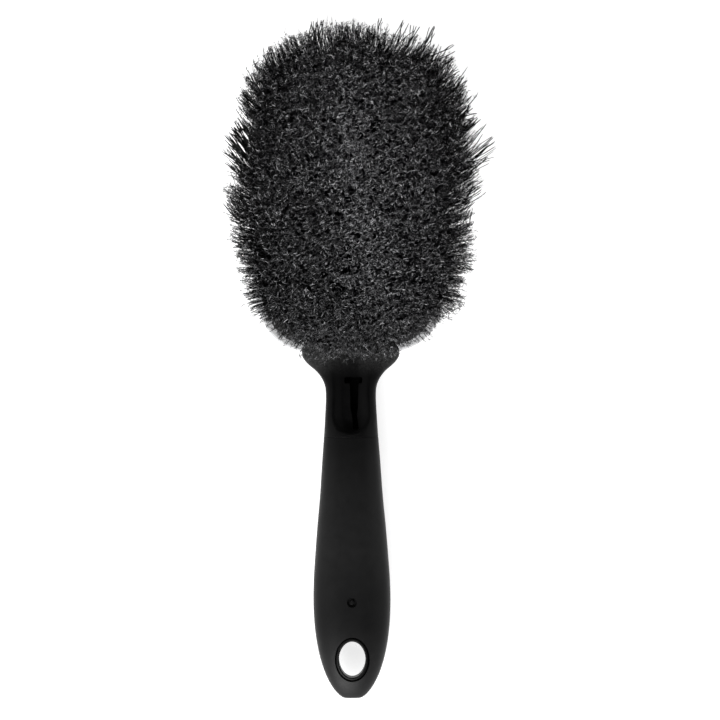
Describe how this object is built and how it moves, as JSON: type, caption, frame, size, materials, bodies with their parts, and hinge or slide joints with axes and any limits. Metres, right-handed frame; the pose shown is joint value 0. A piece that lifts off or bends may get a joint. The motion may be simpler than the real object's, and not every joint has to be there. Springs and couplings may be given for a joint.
{
  "type": "wheel brush",
  "caption": "Short-handled wheel brush: oval head of dense splayed bristles, soft grey edge bumper, rubber-covered handle with an oval hang hole.",
  "frame": {"origin": "middle of the brush's length and width, on the plane of the head's flat back, with the brush lying on its back", "axes": "+Y runs along the brush from the handle's hang-hole end to the head, +X across the head, +Z from the flat back of the head to the bristle tips"},
  "size_m": [0.097, 0.2788, 0.056],
  "materials": {
    "handle_plastic": "moulded black polypropylene, semi-gloss with fine rub marks",
    "grip_rubber": "matte black soft-touch over-mould with a very fine grain",
    "bumper_rubber": "matte light-grey soft over-mould",
    "bristle_filament": "black crimped filament with split, slightly paler tips"
  },
  "bodies": {
    "root": {"handle_core": "handle_plastic", "soft_grip": "grip_rubber", "head_bumper": "bumper_rubber", "tuft_row_01": "bristle_filament", "tuft_row_02": "bristle_filament", "tuft_row_03": "bristle_filament", "tuft_row_04": "bristle_filament", "tuft_row_05": "bristle_filament", "tuft_row_06": "bristle_filament", "tuft_row_07": "bristle_filament", "tuft_row_08": "bristle_filament", "tuft_row_09": "bristle_filament", "tuft_row_10": "bristle_filament", "tuft_row_11": "bristle_filament", "tuft_row_12": "bristle_filament", "tuft_row_13": "bristle_filament", "tuft_row_14": "bristle_filament", "tuft_row_15": "bristle_filament", "tuft_row_16": "bristle_filament", "tuft_row_17": "bristle_filament"}
  },
  "joints": []
}
